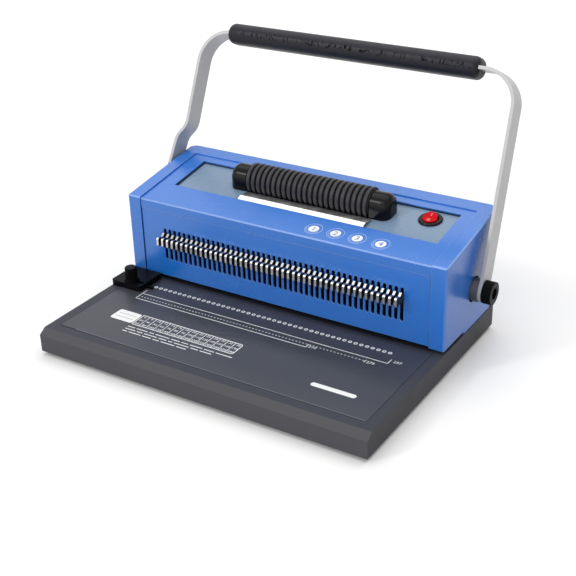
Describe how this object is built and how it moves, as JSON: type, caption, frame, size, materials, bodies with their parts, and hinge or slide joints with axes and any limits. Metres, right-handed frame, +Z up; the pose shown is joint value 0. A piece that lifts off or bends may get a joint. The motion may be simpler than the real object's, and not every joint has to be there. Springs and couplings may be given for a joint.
{
  "type": "coil binding machine",
  "caption": "Desktop coil binding machine: flat grey base, blue punch body with slotted front and pulls, swinging U lever with grip, ribbed coil roller on top.",
  "frame": {"origin": "on the floor, under the middle of the overall box", "axes": "+Z up, -Y towards the operator, +X to the right of the operator"},
  "size_m": [0.4222, 0.3276, 0.2777],
  "materials": {
    "base_paint": "satin",
    "base_print": "satin",
    "dark_sheet": "satin",
    "blue_paint": "satin",
    "inset_face": "gloss",
    "bright_sheet": "polished",
    "black_gloss": "gloss",
    "black_matte": "satin",
    "rubber_black": "matte",
    "grip_rubber": "satin",
    "red_plastic": "gloss",
    "bar_silver": "satin",
    "steel": "satin",
    "bright_steel": "polished",
    "bush_brass": "satin"
  },
  "bodies": {
    "machine": {"base_shell": "base_paint", "base_mat": "base_print", "bottom_plate": "dark_sheet", "rubber_feet": "rubber_black", "die_plate": "steel", "guide_nut": "steel", "paper_stop": "steel", "guide_plate": "steel", "guide_posts": "steel", "side_frame_left": "dark_sheet", "side_frame_right": "dark_sheet", "tie_rods": "steel", "shaft_bushes": "bush_brass", "casing": "blue_paint", "front_panel": "blue_paint", "top_cover": "blue_paint", "inset_panel": "inset_face", "coil_plate": "bright_sheet", "roller_cap_left": "black_gloss", "roller_cap_right": "black_gloss", "roller_bearings": "steel", "drive_belt": "rubber_black", "motor": "dark_sheet", "motor_bracket": "steel", "switch_housing": "black_gloss", "power_inlet": "black_matte"},
    "lever": {"handle_shaft": "steel", "pinion_left": "steel", "pinion_right": "steel", "shaft_collars": "bar_silver", "handle_bar": "bar_silver", "handle_grip": "grip_rubber", "thumb_nuts": "black_matte"},
    "carriage": {"drive_bar": "dark_sheet", "punch_pins": "steel", "rack_left": "steel", "rack_right": "steel"},
    "first_pulls": {"pulls_first": "bright_steel"},
    "second_pulls": {"pulls_second": "bright_steel"},
    "last_pulls": {"pulls_last": "bright_steel"},
    "roller": {"roller_core": "steel", "roller_sleeve": "rubber_black", "roller_pulley": "black_matte"},
    "rotor": {"motor_pulley": "black_matte"},
    "rocker": {"switch_rocker": "red_plastic"},
    "guide": {"edge_guide": "black_matte"},
    "knob": {"guide_knob": "black_matte"},
    "tray": {"chip_tray": "black_matte"}
  },
  "joints": [
    {"name": "lever_swing", "type": "hinge", "parent": "machine", "child": "lever", "pos_m": [0, 0.05992, 0.07], "axis": [1, 0, 0], "range_deg": [0, 90]},
    {"name": "punch_stroke", "type": "slide", "parent": "machine", "child": "carriage", "axis": [0, 0, -1], "range_m": [0, 0.0138]},
    {"name": "first_pull_slide", "type": "slide", "parent": "carriage", "child": "first_pulls", "axis": [0, -1, 0], "range_m": [0, 0.006]},
    {"name": "second_pull_slide", "type": "slide", "parent": "carriage", "child": "second_pulls", "axis": [0, -1, 0], "range_m": [0, 0.006]},
    {"name": "last_pull_slide", "type": "slide", "parent": "carriage", "child": "last_pulls", "axis": [0, -1, 0], "range_m": [0, 0.006]},
    {"name": "roller_spin", "type": "hinge", "parent": "machine", "child": "roller", "pos_m": [0.0004, 0.06492, 0.13684], "axis": [1, 0, 0], "continuous": true},
    {"name": "motor_spin", "type": "hinge", "parent": "machine", "child": "rotor", "pos_m": [0.08215, 0.06492, 0.096], "axis": [1, 0, 0], "continuous": true},
    {"name": "switch_tip", "type": "hinge", "parent": "machine", "child": "rocker", "pos_m": [0.1345, 0.07127, 0.12814], "axis": [-1, 0, 0], "range_deg": [0, 22]},
    {"name": "guide_slide", "type": "slide", "parent": "machine", "child": "guide", "axis": [-1, 0, 0], "range_m": [0, 0.014]},
    {"name": "knob_turn", "type": "hinge", "parent": "machine", "child": "knob", "pos_m": [-0.169, -0.03858, 0.04], "axis": [0, 0, 1], "range_deg": [0, 270]},
    {"name": "tray_slide", "type": "slide", "parent": "machine", "child": "tray", "axis": [-1, 0, 0], "range_m": [0, 0.3]}
  ],
  "couplings": [
    {"joint": "punch_stroke", "follows": "lever_swing", "m_per_rad": 0.00875},
    {"joint": "motor_spin", "follows": "roller_spin", "ratio": 1}
  ]
}
